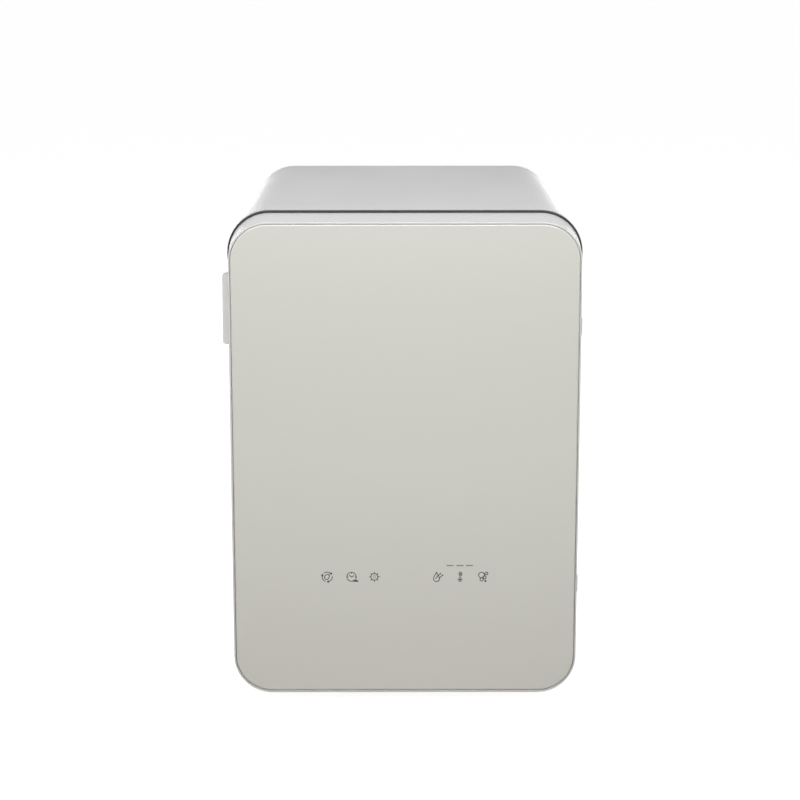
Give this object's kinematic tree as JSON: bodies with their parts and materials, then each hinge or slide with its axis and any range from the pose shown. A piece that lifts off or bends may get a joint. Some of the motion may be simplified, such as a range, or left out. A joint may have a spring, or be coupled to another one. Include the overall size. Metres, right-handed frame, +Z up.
{
  "type": "baby bottle sterilizer",
  "caption": "Upright cabinet steriliser and dryer for baby bottles, with a hinged glass-fronted door, a steel chamber, pull-out wire racks, ultraviolet lamps and a warm-air fan.",
  "frame": {"origin": "on the floor under the middle of the cabinet: halfway across, and halfway from the front glass to the back", "axes": "+Z up, the door faces -Y, +X to the right seen from the front"},
  "size_m": [0.2947, 0.345, 0.4113],
  "materials": {
    "shell_white": "moulded white plastic, fine satin texture",
    "frame_white": "moulded white plastic, satin",
    "rear_white": "moulded white plastic, fine texture",
    "door_white": "polished white plastic",
    "handle_white": "polished white plastic",
    "door_glass": "white back-printed flat glass with a pencil edge",
    "trim_dark": "dark brown-black soft moulding",
    "seal_grey": "light grey silicone",
    "chamber_steel": "bright brushed stainless sheet",
    "runner_steel": "folded stainless sheet",
    "guard_steel": "slotted stainless sheet",
    "mirror_steel": "mirror-finish stainless sheet",
    "rack_wire": "polished stainless wire",
    "tray_steel": "pressed stainless sheet",
    "lamp_glass": "clear quartz tube",
    "lamp_cap": "spun aluminium",
    "holder_white": "white moulded lamp holder",
    "duct_grey": "grey heat-proof plastic",
    "heater_fins": "thin aluminium fins",
    "fan_black": "black glass-filled plastic",
    "motor_case": "grey motor case",
    "filter_fibre": "white pleated fibre",
    "board_green": "green solder mask",
    "part_black": "black moulded components",
    "ballast_case": "pale painted steel case",
    "inlet_black": "black moulded plastic",
    "hinge_white": "zinc casting with white powder coat",
    "screw_steel": "zinc-plated steel",
    "bush_nylon": "natural nylon",
    "magnet_nickel": "nickel-plated magnet",
    "foot_rubber": "dark grey rubber"
  },
  "bodies": {
    "cabinet": {"outer_shell": "shell_white", "front_frame": "frame_white", "rear_cover": "rear_white", "base_plate": "rear_white", "trim_ring": "trim_dark", "chamber_liner": "chamber_steel", "upper_runner_left": "runner_steel", "upper_runner_right": "runner_steel", "lower_runner_left": "runner_steel", "lower_runner_right": "runner_steel", "upper_lamp_guard": "guard_steel", "rear_lamp_guard": "guard_steel", "upper_lamp_reflector": "mirror_steel", "rear_lamp_reflector": "mirror_steel", "upper_lamp_tube": "lamp_glass", "rear_lamp_tube": "lamp_glass", "upper_lamp_caps": "lamp_cap", "rear_lamp_caps": "lamp_cap", "upper_lamp_holders": "holder_white", "rear_lamp_holders": "holder_white", "air_duct": "duct_grey", "heater_core": "heater_fins", "fan_frame": "fan_black", "fan_motor": "motor_case", "air_filter": "filter_fibre", "main_board": "board_green", "board_parts": "part_black", "transformer": "part_black", "lamp_ballast": "ballast_case", "power_inlet": "inlet_black", "interlock_switch": "inlet_black", "hinge_arm_lower": "hinge_white", "hinge_arm_upper": "hinge_white", "hinge_pins": "screw_steel", "hinge_screws": "screw_steel", "cover_screws": "screw_steel", "foot_screws": "screw_steel", "interlock_spring": "screw_steel", "latch_magnets": "magnet_nickel", "foot_front_left": "foot_rubber", "foot_front_right": "foot_rubber", "foot_rear_left": "foot_rubber", "foot_rear_right": "foot_rubber"},
    "door": {"door_frame": "door_white", "door_glass": "door_glass", "door_handle": "handle_white", "door_inner_panel": "frame_white", "door_gasket": "seal_grey", "door_reflector": "mirror_steel", "door_screws": "screw_steel", "touch_board": "board_green", "hinge_bushes": "bush_nylon", "strike_plates": "screw_steel"},
    "upper_rack": {"upper_rack": "rack_wire"},
    "lower_rack": {"lower_rack": "rack_wire"},
    "drip_tray": {"drip_tray": "tray_steel"},
    "fan_rotor": {"fan_rotor": "fan_black"},
    "interlock_plunger": {"interlock_plunger": "inlet_black"},
    "filter_cover": {"filter_cover": "rear_white"}
  },
  "joints": [
    {"name": "door_hinge", "type": "hinge", "parent": "cabinet", "child": "door", "pos_m": [0.1392, -0.1516, 0.20825], "axis": [0, 0, 1], "range_deg": [0, 110]},
    {"name": "upper_rack_slide", "type": "slide", "parent": "cabinet", "child": "upper_rack", "axis": [0, -1, 0], "range_m": [0, 0.088]},
    {"name": "lower_rack_slide", "type": "slide", "parent": "cabinet", "child": "lower_rack", "axis": [0, -1, 0], "range_m": [0, 0.107]},
    {"name": "drip_tray_slide", "type": "slide", "parent": "cabinet", "child": "drip_tray", "axis": [0, -1, 0], "range_m": [0, 0.068]},
    {"name": "interlock_travel", "type": "slide", "parent": "cabinet", "child": "interlock_plunger", "axis": [0, -1, 0], "range_m": [0, 0.0031]},
    {"name": "fan_spin", "type": "hinge", "parent": "cabinet", "child": "fan_rotor", "pos_m": [0, 0.1335, 0.122], "axis": [0, 1, 0], "continuous": true},
    {"name": "filter_cover_pull", "type": "slide", "parent": "cabinet", "child": "filter_cover", "axis": [0, 1, 0], "range_m": [0, 0.06]}
  ],
  "couplings": [
    {"joint": "upper_rack_slide", "follows": "door_hinge", "m_per_rad": 0.045},
    {"joint": "lower_rack_slide", "follows": "door_hinge", "m_per_rad": 0.055},
    {"joint": "drip_tray_slide", "follows": "door_hinge", "m_per_rad": 0.035},
    {"joint": "interlock_travel", "follows": "door_hinge", "m_per_rad": 0.001563}
  ]
}
